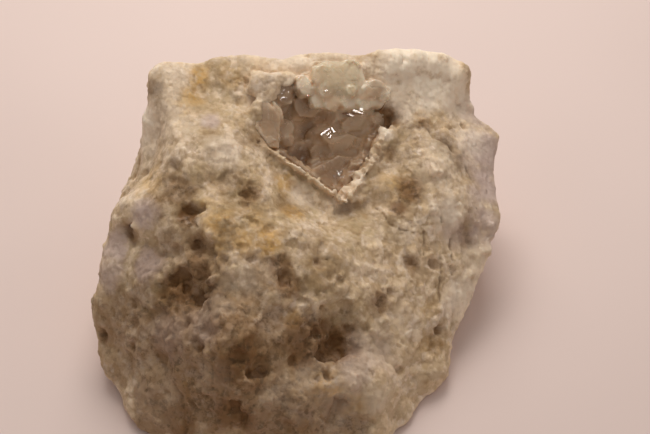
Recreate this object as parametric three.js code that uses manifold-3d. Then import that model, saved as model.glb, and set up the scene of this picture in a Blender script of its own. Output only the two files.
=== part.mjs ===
// A fluorite specimen: a palm-sized lump of pale, granular host rock with an open
// hollow (a vug) in its sloping upper face. The hollow is lined with one crust of
// blocky, glassy crystals, which spills over the hollow's upper rim.
//
// Millimetres, +Z up. The rock rests on a flat spot of its underside at Z = 0, and the
// origin is the middle of the bottom of its bounding box.
import * as THREE from "three";
import { ConvexGeometry } from "three/addons/geometries/ConvexGeometry.js";
import { ConvexHull } from "three/addons/math/ConvexHull.js";
import { ImprovedNoise } from "three/addons/math/ImprovedNoise.js";
import { mergeVertices } from "three/addons/utils/BufferGeometryUtils.js";
import Module from "manifold-3d";

const wasm = await Module();
wasm.setup();

// ---------------------------------------------------------------- driving dimensions

// The point inside the rock that its outline is measured from.
const HEART = new THREE.Vector3(-2, -1, 13);

// The rock's main corners, before they are rounded and roughened.
const CORNERS = [
  // the long upper edge at the back
  [-40.5, 23.5, 49.5],
  [-33, 27, 51],
  [-8, 30, 48],
  [31, 38.5, 42.5],
  [37, 37, 38],
  // the right side, widest a third of the way up
  [43, 27, 27],
  [42, 6, 18],
  [33.5, -10, 8.5],
  [25.5, -28.5, -0.8],
  [20, -38, -0.8],
  // the left side
  [-41, 9, 43],
  [-47, -5, 31],
  [-53, -16, 18],
  [-53.5, -25, 6],
  [-48, -31, -0.8],
  [-40, -43, -0.8],
  // the front
  [-13, -51, -0.8],
  [-13, -50, 9],
  [15, -43, 2],
  // the upper face, from its high left shoulder down to the front bulge
  [-34, 9, 48],
  [-28, -9, 42],
  [-20, -38, 28],
  [-14, 8, 41],
  [-4, -26, 27],
  [28, 27, 38],
  [33, 13, 27],
  // the back and its foot
  [35, 33, 14],
  [25, 29, -0.8],
  [-4, 34, 16],
  [-42, 21, 20],
  [-34, 21, -0.8],
];
const EDGE_ROUNDING = 0.8;

// How finely the rock's surface is divided, and how the divisions are spread: squashed
// downwards so that its sides get their share, and crowding towards the hollow.
const SURFACE_DIVISIONS = 17;
const SQUASH = 0.72;
const CROWDING = 0.13;

// Relief: long swells, and low lumps that meet in creases.
const SWELLS = [
  { wavelength: 27, height: 1.6 },
  { wavelength: 13, height: 1.2 },
];
const LUMPS = { count: 170, radius: 7, height: 1.4, tilt: 0.14, scatter: 0.12, seed: 11 };

// Single lumps (height above zero) and pits (below zero): centre, radius and height.
const FEATURES = [
  // pits of the upper left
  [-27.5, -11, 38.5, 4.5, -1.8],
  [-27, -17.5, 35.5, 5, -2.2],
  [-28.5, -23.5, 29.5, 6.5, -2.6],
  [-19.5, -26.5, 32, 5, -1.6],
  [-43, -7.5, 29.5, 5, -1.4],
  // pits of the front
  [3, -27, 20.5, 9, -2.8],
  [1, -33, 17.5, 5.5, -1.8],
  [-5.5, -33, 21.5, 5.5, -1.6],
  [13, -28, 13.5, 5, -1.4],
  [2, -42, 8.5, 9, -2.4],
  // pits right of the hollow
  [20, 20, 34.5, 4, -1.7],
  [19, 30, 41, 3.5, -1],
  [33, 0.5, 18.5, 5.5, -1.5],
  // the crack that runs down to the right from the hollow
  [18.5, 20.5, 35, 4, -0.8],
  [21.5, 19, 34, 4, -1],
  [24.5, 17, 32.5, 4, -1.3],
  [28, 14.5, 30, 4, -1.3],
  [31.5, 12, 28, 4, -1],
  // bites out of the outline, left and right
  [-38.5, 20, 45, 5, -2],
  [-41.5, 9, 39, 13, -3.7],
  [-44.5, 4, 33, 9, -3],
  [-50, -24, 9.5, 7, -1],
  [37, 31, 32, 10, -3.8],
  [40.5, 15, 22, 10, -1.6],
  [40, 5, 17.5, 7, -1],
  [31, -17, 7, 10, -1.4],
  [24.5, -22.5, 9.5, 7, -1.2],
  // the spot under the middle that it rests on
  [-5, -6, -0.5, 9, 2.4],
  // lumps along the upper edge
  [-37, 24, 49, 9, 1.4],
  [-14.5, 28.5, 47, 7, 1.4],
  [-9.5, 29.5, 47.5, 8, 1.2],
  [12, 33, 44, 7, 1.2],
  [21.5, 34.5, 42.5, 8, 1.6],
  [31.5, 36, 40, 6, 1.4],
  // lumps down the sides
  [-35, 13, 46, 8, 1.2],
  [-43, -8, 31, 9, 1.4],
  [-48, -9.5, 25, 9, 1.8],
  [-50.5, -18.5, 13.5, 8, 1],
  [25, -28, 2.5, 7, 1.6],
  // lumps of the front and of the face right of the hollow
  [22.5, 7, 28, 17, 1.8],
  [12.5, 5.5, 28.5, 7, 1.3],
  [9, -1, 27, 6, 1],
  [5.5, -36, 11.5, 12, 2],
  [-17.5, -39, 24.5, 14, 1.4],
  [-17, -13, 37.5, 9, 0.9],
];

// The hollow: the middle of its mouth, and the way its mouth faces.
const MOUTH = new THREE.Vector3(2.5, 13.5, 36.5);
const MOUTH_FACING_DEG = { azimuth: -58, rise: 57 };
const MOUTH_FLAT_RADIUS = 15; // the rock's surface is level with the mouth this far out
const MOUTH_BLEND_RADIUS = 27;
const MOUTH_CALM = 0.4; // how much of the rock's relief is levelled there
const POCKET = {
  // the mouth's outline, with +x to the right and +y up the slope
  outline: [
    [0.6, -13.2],
    [2.6, -11.2],
    [4.6, -8],
    [6, -5.2],
    [8.4, -3.2],
    [9, 0.8],
    [11.2, 3.6],
    [14, 4.6],
    [14.6, 7.5],
    [11, 10.4],
    [5, 11],
    [-3, 11],
    [-9, 12.5],
    [-14, 12],
    [-18, 10],
    [-20, 6],
    [-18, 0],
    [-16.6, -2.5],
    [-8.4, -7.2],
  ],
  depth: 16,
  floorScale: 0.6, // the floor's outline against the mouth's
  above: 9, // how far the cutting shape stands out of the mouth
};
const CRUST_GAP = 0.35; // between the crust and the rock around it
const LINING = { thickness: 1.4, floor: 3, top: 3.5 };

// The thin walls that stand along the two lower sides of the mouth, as points of their
// middle line with the height of the wall there, and the groove outside the left one.
const RIM_ROOT = 5;
const LEFT_WALL = {
  thickness: 1.2,
  line: [
    [-17.4, -2.9, 1],
    [-12.8, -5.8, 1.7],
    [-8.7, -8.1, 1.9],
    [-4.2, -10.8, 1.7],
    [0.2, -13.9, 1.2],
  ],
};
const RIGHT_WALL = {
  thickness: 1.3,
  line: [
    [1, -14.3, 1.1],
    [3.4, -11.8, 1.6],
    [5.4, -8.3, 0.9],
    [7.2, -5.7, 1.7],
    [9.4, -3.4, 1.1],
    [9.9, 0.3, 1.8],
    [11.8, 2.8, 1.2],
    [14.6, 3.9, 0.8],
  ],
};
const GROOVE = {
  thickness: 1.9,
  depth: 2,
  line: [
    [-16.8, -5],
    [-9.6, -9.6],
    [-5.1, -12.3],
    [1.2, -16.3],
  ],
};

// The crystals. Each row: its middle (to the right, up the slope, out of the mouth), its
// width, height and thickness, then its turn about the way out and its lean in degrees.
const INNER_CRYSTALS = [
  // the large clear one at the right, and the three around it
  [4.9, 5.7, -8, 9, 8, 8, -14, 12],
  [2.2, -0.1, -9.2, 7.4, 5.4, 6, 8, -10],
  [0.4, -5.6, -9.6, 9.4, 7.4, 7, 4, 8],
  [-1.8, 2.8, -7.8, 4.6, 4.8, 5, 35, 24],
  // down the left wall
  [-12.2, 2.7, -7.4, 5.6, 6.8, 6, 10, -14],
  [-15.6, 5.8, -4.2, 5.4, 8, 8, 4, -8],
  [-18, 6.6, -2, 3.2, 5, 5, 20, 10],
  [-11.9, 10, -5.4, 4.8, 5.2, 6, -20, 18],
  [-7, 9, -6.6, 4.8, 5.2, 6, 15, -12],
  [-7.6, -1.2, -11.4, 6, 6, 6, 40, 10],
  // the floor
  [-4.6, -0.2, -12.4, 6.4, 6, 6, 22, -6],
  [-8, 5, -12, 7, 7, 6, 48, 12],
  [-3.4, 6.6, -12, 6, 6.4, 6, 12, -18],
  [-11.2, 7, -10.4, 5, 5.4, 6, 30, 6],
  [1, 3.4, -13, 6, 6, 5, 0, 10],
  // the right wall and its recess
  [11.4, 8.4, -8, 4.4, 3.6, 5, 25, 14],
  [7, -0.4, -12, 4.4, 5, 5, 12, 10],
  [9.6, 4.8, -12.4, 5, 5.4, 5, 33, -8],
];
const RIM_CRYSTALS = [
  // the large green one, and the pale ones below it
  [0.2, 14.2, -0.6, 11.4, 7.4, 6, 4, -6],
  [-3.2, 10, -1.4, 4.4, 4.4, 4.6, 18, 12],
  [2, 9.6, -1.4, 5.8, 4, 4.6, -8, -10],
  [6.2, 10, -1.2, 4.8, 4.2, 4.6, 24, 8],
  // to either side
  [9.4, 11.6, -1, 4.8, 5, 4.4, -18, 10],
  [-7.6, 12.2, -0.8, 3.8, 4.4, 4, 22, -10],
  [-13.2, 12.4, -1.4, 5.2, 4.2, 4.4, 8, 8],
  [-17, 11.6, -1.2, 5.6, 4.6, 4.4, -12, 10],
];
const CORNER_CUT = [0.16, 0.36]; // how much of an edge a crystal's cut corners take

// ---------------------------------------------------------------- helpers

const noise = new ImprovedNoise();
const radians = THREE.MathUtils.degToRad;

// Repeatable random numbers from 0 to 1.
function randomFrom(seed) {
  let state = seed;
  return () => {
    state = (state + 0x6d2b79f5) | 0;
    let t = Math.imul(state ^ (state >>> 15), 1 | state);
    t = (t + Math.imul(t ^ (t >>> 7), 61 | t)) ^ t;
    return ((t ^ (t >>> 14)) >>> 0) / 4294967296;
  };
}

function direction(azimuthDeg, riseDeg) {
  const a = radians(azimuthDeg);
  const r = radians(riseDeg);
  return new THREE.Vector3(Math.cos(r) * Math.cos(a), Math.cos(r) * Math.sin(a), Math.sin(r));
}

// A closed geometry as a manifold-3d solid, and back.
function solidOf(geometry) {
  const bare = geometry.clone();
  for (const name of Object.keys(bare.attributes)) {
    if (name !== "position") bare.deleteAttribute(name);
  }
  const merged = mergeVertices(bare, 1e-4);
  return new wasm.Manifold(
    new wasm.Mesh({
      numProp: 3,
      vertProperties: new Float32Array(merged.attributes.position.array),
      triVerts: new Uint32Array(merged.index.array),
    }),
  );
}

// The outermost shell of a solid, without loose crumbs and without sealed bubbles inside it.
function outerShell({ triVerts, vertProperties }) {
  const root = Array.from({ length: vertProperties.length / 3 }, (_, i) => i);
  const find = (i) => {
    while (root[i] !== i) {
      root[i] = root[root[i]];
      i = root[i];
    }
    return i;
  };
  for (let t = 0; t < triVerts.length; t += 3) {
    root[find(triVerts[t])] = find(triVerts[t + 1]);
    root[find(triVerts[t + 1])] = find(triVerts[t + 2]);
  }
  const shells = new Map();
  for (let t = 0; t < triVerts.length; t += 3) {
    const shell = find(triVerts[t]);
    if (!shells.has(shell)) shells.set(shell, []);
    shells.get(shell).push(...triVerts.slice(t, t + 3));
  }
  return [...shells.values()].reduce((largest, one) => (one.length > largest.length ? one : largest));
}

function geometryOf(solid) {
  const mesh = solid.getMesh();
  const geometry = new THREE.BufferGeometry();
  geometry.setAttribute("position", new THREE.BufferAttribute(mesh.vertProperties, 3));
  geometry.setIndex(outerShell(mesh));
  const faces = geometry.toNonIndexed();
  faces.computeVertexNormals();
  return faces;
}

// ---------------------------------------------------------------- the hollow's own frame

const mouthOut = direction(MOUTH_FACING_DEG.azimuth, MOUTH_FACING_DEG.rise);
const mouthRight = new THREE.Vector3(1, 0, 0).addScaledVector(mouthOut, -mouthOut.x).normalize();
const mouthUp = new THREE.Vector3().crossVectors(mouthOut, mouthRight);
const mouthFrame = new THREE.Matrix4()
  .makeBasis(mouthRight, mouthUp, mouthOut)
  .setPosition(MOUTH);

// ---------------------------------------------------------------- the host rock

const blockFaces = new ConvexHull()
  .setFromPoints(CORNERS.map((c) => new THREE.Vector3(...c)))
  .faces.map((face) => ({ normal: face.normal, reach: face.constant - face.normal.dot(HEART) }));

// The block with its edges rounded: where it lies along a direction, and which way it faces.
function blockAt(u) {
  const hits = [];
  for (const { normal, reach } of blockFaces) {
    const facing = normal.dot(u);
    if (facing > 1e-3) hits.push({ normal, distance: reach / facing });
  }
  const nearest = Math.min(...hits.map((hit) => hit.distance));
  const outward = new THREE.Vector3();
  let total = 0;
  for (const hit of hits) {
    const weight = Math.exp((nearest - hit.distance) / EDGE_ROUNDING);
    outward.addScaledVector(hit.normal, weight);
    total += weight;
  }
  const radius = nearest - EDGE_ROUNDING * Math.log(total);
  return { p: u.clone().multiplyScalar(radius).add(HEART), outward: outward.normalize() };
}

// Centres of the broken lumps, spread evenly over the rock, each with its own tilt.
function makeLumps() {
  const random = randomFrom(LUMPS.seed);
  const goldenAngle = Math.PI * (3 - Math.sqrt(5));
  const lumps = [];
  for (let i = 0; i < LUMPS.count; i++) {
    const z = 1 - (2 * i + 1) / LUMPS.count;
    const ring = Math.sqrt(1 - z * z);
    const u = new THREE.Vector3(
      ring * Math.cos(goldenAngle * i) + LUMPS.scatter * (random() - 0.5),
      ring * Math.sin(goldenAngle * i) + LUMPS.scatter * (random() - 0.5),
      SQUASH * z + LUMPS.scatter * (random() - 0.5),
    ).normalize();
    const slope = new THREE.Vector3(random() - 0.5, random() - 0.5, random() - 0.5);
    lumps.push({ at: blockAt(u).p, slope: slope.multiplyScalar(2 * LUMPS.tilt) });
  }
  return lumps;
}
const lumps = makeLumps();

// Each lump is a tilted low dome, and the domes meet in creases.
function lumpRelief(p) {
  let highest = -Infinity;
  for (const lump of lumps) {
    const away = p.distanceToSquared(lump.at) / LUMPS.radius ** 2;
    if (away > 6) continue;
    const tilted = lump.slope.dot(p.clone().sub(lump.at));
    highest = Math.max(highest, tilted - LUMPS.height * away);
  }
  return Math.max(highest, -2 * LUMPS.height);
}

function swellRelief(p) {
  let height = 0;
  for (const s of SWELLS) {
    const w = s.wavelength;
    height += s.height * noise.noise(p.x / w, p.y / w, p.z / w);
  }
  return height;
}

function featureRelief(p) {
  let height = 0;
  for (const [x, y, z, radius, rise] of FEATURES) {
    const near = 1 - p.distanceToSquared(new THREE.Vector3(x, y, z)) / radius ** 2;
    if (near > 0) height += rise * near ** 2;
  }
  return height;
}

function surfacePoint(u) {
  const { p, outward } = blockAt(u);
  const rough = swellRelief(p) + lumpRelief(p);
  const height = rough + featureRelief(p);
  // Around the hollow the block is broken down to the level of its mouth.
  const proud = p.clone().sub(MOUTH).dot(mouthOut);
  const share =
    1 - THREE.MathUtils.smoothstep(p.distanceTo(MOUTH), MOUTH_FLAT_RADIUS, MOUTH_BLEND_RADIUS);
  if (proud > 0) p.addScaledVector(mouthOut, -proud * share);
  p.addScaledVector(outward, height - MOUTH_CALM * share * rough);
  p.z = Math.max(p.z, 0); // the flat spot that it rests on
  return p;
}

function rockBody() {
  const ball = new THREE.IcosahedronGeometry(1, SURFACE_DIVISIONS);
  ball.deleteAttribute("normal");
  ball.deleteAttribute("uv");
  const surface = mergeVertices(ball, 1e-5);
  const toMouth = MOUTH.clone().sub(HEART).normalize();
  const position = surface.attributes.position;
  for (let i = 0; i < position.count; i++) {
    const u = new THREE.Vector3().fromBufferAttribute(position, i);
    u.z *= SQUASH;
    u.normalize().addScaledVector(toMouth, CROWDING).normalize();
    position.setXYZ(i, ...surfacePoint(u).toArray());
  }
  return solidOf(surface);
}

// ---------------------------------------------------------------- the pocket and its rim

// An outline moved inwards by a distance; it runs anticlockwise.
function inset(outline, distance) {
  const n = outline.length;
  return outline.map((corner, i) => {
    const here = new THREE.Vector2(...corner);
    const next = new THREE.Vector2(...outline[(i + 1) % n]).sub(here).normalize();
    const last = here.clone().sub(new THREE.Vector2(...outline[(i + n - 1) % n])).normalize();
    const inward = new THREE.Vector2(-next.y - last.y, next.x + last.x).normalize();
    const squeeze = Math.max(0.5, inward.x * -next.y + inward.y * next.x);
    return here.addScaledVector(inward, distance / squeeze).toArray();
  });
}

// A plug of an outline that narrows below the mouth, placed in the rock.
function plug(outline, depth, above) {
  const shape = new THREE.Shape(outline.map((c) => new THREE.Vector2(...c)));
  const geometry = new THREE.ExtrudeGeometry(shape, {
    depth: 1,
    steps: 2,
    bevelEnabled: false,
  });
  const position = geometry.attributes.position;
  for (let i = 0; i < position.count; i++) {
    const level = position.getZ(i);
    const z = level > 0.75 ? above : level > 0.25 ? 0 : -depth;
    const scale = z < 0 ? 1 - (1 - POCKET.floorScale) * (depth / POCKET.depth) : 1;
    position.setXYZ(i, position.getX(i) * scale, position.getY(i) * scale, z);
  }
  return solidOf(geometry.applyMatrix4(mouthFrame));
}

// A wall that follows a line of points, each with the height of the wall there.
function wall(line, thickness, root) {
  const sections = line.map(([x, y, top], i) => {
    const [x0, y0] = line[Math.max(i - 1, 0)];
    const [x1, y1] = line[Math.min(i + 1, line.length - 1)];
    const side = new THREE.Vector2(y0 - y1, x1 - x0).setLength(thickness / 2);
    return [
      new THREE.Vector3(x + side.x, y + side.y, -root),
      new THREE.Vector3(x - side.x, y - side.y, -root),
      new THREE.Vector3(x + 0.7 * side.x, y + 0.7 * side.y, top),
      new THREE.Vector3(x - 0.7 * side.x, y - 0.7 * side.y, top),
    ];
  });
  let whole = null;
  for (let i = 1; i < sections.length; i++) {
    const piece = new ConvexGeometry([...sections[i - 1], ...sections[i]]);
    const solid = solidOf(piece.applyMatrix4(mouthFrame));
    whole = whole ? whole.add(solid) : solid;
  }
  return whole;
}

// ---------------------------------------------------------------- the crystals

// A block whose outer corners are cut off, no two alike; grown makes it larger all round.
function crystal([right, up, out, width, height, thickness, turn, lean], seed, grown = 0) {
  const random = randomFrom(seed);
  const half = [width, height, thickness].map((size) => size / 2);
  const points = [];
  for (const sx of [-1, 1]) {
    for (const sy of [-1, 1]) {
      for (const sz of [-1, 1]) {
        const corner = half.map((h, axis) => h * [sx, sy, sz][axis]);
        const [least, most] = CORNER_CUT;
        for (let axis = 0; axis < 3; axis++) {
          const cut = sz > 0 ? least + (most - least) * random() : 0;
          const point = [...corner];
          point[axis] *= 1 - 2 * cut;
          points.push(new THREE.Vector3(...point));
        }
      }
    }
  }
  for (const point of points) {
    point.x *= 1 + (2 * grown) / width;
    point.y *= 1 + (2 * grown) / height;
    point.z *= 1 + (2 * grown) / thickness;
  }
  const place = new THREE.Matrix4()
    .makeRotationFromEuler(new THREE.Euler(radians(lean), radians(-0.7 * lean), radians(turn)))
    .setPosition(right, up, out);
  return solidOf(new ConvexGeometry(points).applyMatrix4(place).applyMatrix4(mouthFrame));
}

function crystals(rows, firstSeed, grown = 0) {
  return rows
    .map((row, i) => crystal(row, firstSeed + i, grown))
    .reduce((all, one) => all.add(one));
}

// ---------------------------------------------------------------- the model

const pocket = plug(POCKET.outline, POCKET.depth, POCKET.above);
const crustLimit = plug(
  inset(POCKET.outline, CRUST_GAP),
  POCKET.depth - CRUST_GAP,
  POCKET.above,
);
const bowl = plug(
  inset(POCKET.outline, CRUST_GAP + LINING.thickness),
  POCKET.depth - LINING.floor,
  POCKET.above,
);

const rock = rockBody()
  .add(wall(LEFT_WALL.line, LEFT_WALL.thickness, RIM_ROOT))
  .add(wall(RIGHT_WALL.line, RIGHT_WALL.thickness, RIM_ROOT))
  .subtract(wall(GROOVE.line.map(([x, y]) => [x, y, 6]), GROOVE.thickness, GROOVE.depth))
  .subtract(pocket)
  .subtract(crystals(RIM_CRYSTALS, 50, CRUST_GAP));

const lining = crustLimit.subtract(bowl).subtract(
  plug(POCKET.outline.map(([x, y]) => [1.2 * x, 1.2 * y]), LINING.top, POCKET.above + 1),
);
const crust = lining
  .add(crystals(INNER_CRYSTALS, 20))
  .intersect(crustLimit)
  .add(crystals(RIM_CRYSTALS, 50));

const stone = new THREE.MeshStandardMaterial({ color: 0xb8a17c, roughness: 0.9, metalness: 0 });
const glassy = new THREE.MeshStandardMaterial({
  color: 0x9aa38a,
  roughness: 0.15,
  metalness: 0,
  transparent: true,
  opacity: 0.75,
});

const specimen = new THREE.Group();
for (const [name, solid, material] of [
  ["rock", rock, stone],
  ["crystal_crust", crust, glassy],
]) {
  const mesh = new THREE.Mesh(geometryOf(solid), material);
  mesh.name = name;
  specimen.add(mesh);
}

// The origin is the middle of the bottom of the whole piece.
const bounds = new THREE.Box3().setFromObject(specimen);
const middle = bounds.getCenter(new THREE.Vector3());
for (const mesh of specimen.children) {
  mesh.geometry.translate(-middle.x, -middle.y, -bounds.min.z);
}

export default specimen;
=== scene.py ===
"""Looks of a fluorite specimen: a lump of granular rock with a crystal-lined hollow.

The CAD solids give the form. Each is turned into a field of signed distances, given its
fine relief there, and meshed again. Lengths in the modelling code are millimetres.
"""

import math
from collections import namedtuple

import bpy
import numpy as np
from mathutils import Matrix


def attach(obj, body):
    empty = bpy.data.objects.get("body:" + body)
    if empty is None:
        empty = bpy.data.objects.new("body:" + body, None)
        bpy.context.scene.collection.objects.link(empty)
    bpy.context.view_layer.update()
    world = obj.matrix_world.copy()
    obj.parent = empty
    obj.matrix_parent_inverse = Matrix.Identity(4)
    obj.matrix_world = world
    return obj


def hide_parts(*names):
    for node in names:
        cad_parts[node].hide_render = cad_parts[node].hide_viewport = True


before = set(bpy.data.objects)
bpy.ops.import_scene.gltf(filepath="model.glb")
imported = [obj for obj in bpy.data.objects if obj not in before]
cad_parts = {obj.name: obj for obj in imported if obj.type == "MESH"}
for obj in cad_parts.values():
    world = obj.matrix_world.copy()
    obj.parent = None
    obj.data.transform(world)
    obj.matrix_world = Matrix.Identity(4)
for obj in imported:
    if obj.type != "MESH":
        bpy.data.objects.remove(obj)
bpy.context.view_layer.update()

import openvdb
from mathutils import Vector
from mathutils.bvhtree import BVHTree

MM = 0.001
BODY = "root"

# ---------------------------------------------------------------- the camera and the lights

PICTURE_WIDTH, PICTURE_HEIGHT = 650, 434
FIELD_OF_VIEW = math.radians(28)
CAMERA_RISE = math.radians(48)
CAMERA_DISTANCE = 293
LOOK_AT = np.array([5.0, 6.1, 25.2])

VIEW_RIGHT = np.array([1.0, 0.0, 0.0])
VIEW_UP = np.array([0.0, math.sin(CAMERA_RISE), math.cos(CAMERA_RISE)])
VIEW_BACK = np.array([0.0, -math.cos(CAMERA_RISE), math.sin(CAMERA_RISE)])
EYE = LOOK_AT + CAMERA_DISTANCE * VIEW_BACK


def direction(azimuth, rise):
    """A unit vector; azimuth 0 is to the right, 90 degrees is behind."""
    level = math.cos(rise)
    return np.array([level * math.cos(azimuth), level * math.sin(azimuth), math.sin(rise)])


def unit(way):
    return way / np.linalg.norm(way)


LAMP = LOOK_AT + 500 * direction(math.radians(-75), math.radians(70))
WINDOW = LOOK_AT + 430 * direction(math.radians(96), math.radians(52))

# ---------------------------------------------------------------- the hollow's mouth

MOUTH = np.array([7.5, 19.6, 36.5])
MOUTH_AZIMUTH, MOUTH_RISE = math.radians(-58), math.radians(57)
MOUTH_OUT = direction(MOUTH_AZIMUTH, MOUTH_RISE)
MOUTH_RIGHT = unit(np.array([1.0, 0.0, 0.0]) - MOUTH_OUT[0] * MOUTH_OUT)
MOUTH_UP = np.cross(MOUTH_OUT, MOUTH_RIGHT)

# ---------------------------------------------------------------- the marks


def listed(kind, *rows):
    """A list of marks of one kind, from the numbers of each."""
    return [kind(*row) for row in rows]


# Marks are placed by picture pixel and lie on the rock or the crust there. Sizes are
# millimetres. The coloured marks are listed from the top of the picture down; most are
# stains, but some brown ones are painted shade and some chalky ones painted light.
Pit = namedtuple("Pit", "x y radius")
Stain = namedtuple("Stain", "x y radius strength")

PITS = listed(
    Pit,
    # the upper left
    (190, 212, 1.7), (196, 247, 1.4), (182, 284, 2.3), (202, 290, 2.4), (250, 195, 1.4),
    (284, 276, 1.6),
    # the front
    (328, 338, 2.8), (341, 349, 2.6), (313, 346, 2.2), (238, 362, 2.6), (262, 370, 2.4),
    (230, 410, 2.4), (336, 410, 2.4), (130, 346, 1), (103, 336, 1.1), (130, 232, 1),
    # the right
    (412, 264, 0.9), (380, 303, 1.2), (443, 336, 1.4),
)

# Brown stains; some are painted shade: on the shaded lower left, in the shadow below the hollow's left
# wall and in the dark recess right of the hollow.
BROWN_STAIN_AND_SHADE = listed(
    Stain,
    # broad ones over the front, at the lower left partly painted shade
    (130, 335, 18, 0.55), (212, 368, 28, 0.75), (290, 425, 22, 0.6),
    # smaller ones
    (407, 75, 1.8, 0.8), (155, 88, 3, 0.6), (269, 94, 2, 0.7), (390, 116, 4, 1),
    (425, 124, 3, 0.6), (445, 137, 3, 0.5), (258, 140, 4, 0.4), (268, 158, 4, 0.4),
    (388, 151, 2.6, 0.6), (458, 160, 2.5, 0.6), (232, 182, 4, 0.4), (180, 192, 6, 0.6),
    (250, 193, 3.5, 0.7), (409, 189, 4.5, 0.9), (156, 206, 4, 0.5), (242, 204, 5, 0.25),
    (262, 202, 5, 0.25), (286, 206, 5, 0.45), (345, 208, 1.5, 0.8), (398, 208, 2.5, 0.9),
    (188, 216, 4, 1), (133, 234, 3.5, 0.7), (168, 240, 5, 0.4), (226, 236, 5, 0.35),
    (465, 234, 4, 0.7), (200, 247, 4.5, 0.7), (150, 262, 6, 0.7), (195, 264, 4.5, 0.8),
    (262, 262, 4, 0.4), (280, 269, 4, 0.8), (412, 264, 2.5, 0.6), (196, 280, 10, 0.6),
    (264, 276, 6, 0.3), (312, 276, 7, 0.3), (336, 276, 6, 0.25), (184, 289, 6.5, 1),
    (210, 292, 5, 0.8), (265, 283, 5, 0.5), (284, 284, 6, 0.4), (288, 284, 5, 0.8),
    (168, 305, 6, 0.7), (180, 300, 8, 0.8), (380, 302, 3.5, 0.7), (240, 318, 6, 0.6),
    (158, 325, 6, 0.6), (104, 337, 3, 0.8), (298, 334, 6, 0.9), (322, 338, 7, 1),
    (436, 336, 4.5, 0.3), (131, 346, 2, 0.9), (300, 352, 6, 1), (310, 348, 5, 0.9),
    (322, 344, 9, 0.8), (324, 352, 7, 0.7), (335, 345, 7, 1), (390, 346, 3, 0.3),
    (246, 355, 6.5, 1), (118, 372, 4, 0.5), (228, 372, 6, 1), (258, 374, 6, 0.9),
    (275, 382, 5, 0.6), (150, 392, 8, 0.8), (234, 414, 7, 1), (332, 405, 5.5, 1),
    (180, 420, 8, 0.9), (262, 418, 6, 0.8), (352, 425, 5, 0.7), (150, 426, 6, 0.7),
    (290, 430, 14, 0.8),
)

OCHRE = listed(
    Stain,
    (452, 62, 5, 0.5), (232, 76, 4, 0.4), (262, 72, 4, 0.5), (198, 79, 3.5, 1), (390, 88, 3, 0.7),
    (191, 96, 3.5, 0.9), (184, 108, 3, 0.5), (422, 118, 3, 0.8), (283, 184, 3.5, 0.8),
    (150, 188, 6, 0.4), (398, 186, 5, 0.5), (205, 208, 4, 0.4), (258, 222, 4, 0.4),
    (292, 213, 3.5, 0.8), (218, 230, 5, 0.8), (240, 240, 4.5, 0.7), (268, 241, 4, 1),
    (292, 318, 3, 0.7), (425, 310, 4, 0.3), (215, 352, 3.5, 0.7), (432, 345, 5, 0.4),
    (182, 386, 4, 0.4), (300, 384, 4, 0.4), (330, 390, 5, 1), (352, 404, 3.5, 0.7),
)

OLIVE = listed(
    Stain,
    (225, 80, 8, 0.5), (262, 88, 4, 0.5), (215, 100, 8, 0.5), (430, 100, 5, 0.4),
    (190, 104, 4, 0.5), (230, 108, 9, 0.55), (250, 118, 5, 0.4), (205, 130, 7, 0.4),
    (395, 140, 4.5, 0.5), (445, 150, 5, 0.5), (272, 160, 3.5, 1), (248, 166, 5, 0.4),
    (284, 168, 4, 0.9), (148, 176, 6, 0.4), (192, 180, 6, 0.5), (222, 185, 5, 0.5),
    (305, 182, 4, 0.8), (410, 185, 6, 0.6), (247, 192, 5, 0.7), (322, 196, 3, 0.7),
    (381, 187, 5, 0.25), (192, 204, 7, 0.6), (240, 206, 8, 0.8), (264, 204, 6, 0.5),
    (288, 206, 7, 0.7), (275, 212, 6, 0.7), (305, 212, 5, 0.7), (360, 228, 7, 0.7),
    (365, 226, 5, 0.6), (395, 232, 4, 0.4), (222, 236, 6, 0.7), (345, 238, 7, 0.5),
    (144, 252, 7, 0.4), (295, 250, 5, 0.3), (120, 276, 7, 0.6), (312, 276, 7, 0.7),
    (330, 272, 7, 0.5), (330, 290, 8, 0.5), (168, 300, 8, 0.8), (216, 300, 7, 0.6),
    (345, 310, 6, 0.5), (372, 332, 6, 0.5), (275, 350, 6, 0.5), (244, 368, 8, 0.7),
    (360, 395, 6, 0.5),
)

LILAC = listed(
    Stain,
    (472, 112, 5, 0.7), (212, 122, 3, 0.8), (482, 150, 7, 1), (486, 185, 7, 1), (142, 217, 4.5, 1),
    (484, 225, 6, 0.8), (118, 246, 5, 0.9), (452, 235, 5, 0.5), (148, 263, 5, 0.7),
    (109, 272, 5, 0.7), (205, 325, 5, 0.25), (168, 334, 6, 0.3), (374, 356, 6, 0.4),
    (355, 372, 5, 0.4),
)

# Where the rock is rounded and calm, and where it is rough.
SMOOTH = listed(
    Stain,
    (482, 150, 8, 0.9), (486, 190, 8, 0.9), (165, 75, 8, 0.8), (205, 66, 8, 0.8),
    (250, 62, 8, 0.7), (300, 58, 8, 0.8), (345, 56, 8, 0.8), (400, 60, 8, 0.6), (440, 62, 8, 0.6),
    (165, 110, 9, 0.8), (155, 150, 9, 0.8), (145, 190, 8, 0.7), (210, 120, 10, 0.5),
    (425, 90, 9, 0.5), (380, 186, 6, 1),
)

ROUGH = listed(
    Stain,
    (200, 280, 16, 1), (320, 330, 14, 1), (230, 370, 16, 1), (300, 410, 14, 0.8),
    (250, 210, 8, 0.5), (160, 340, 12, 0.6),
)

# Chalky pale grains; on the top right and on the left face they are also painted light.
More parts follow.
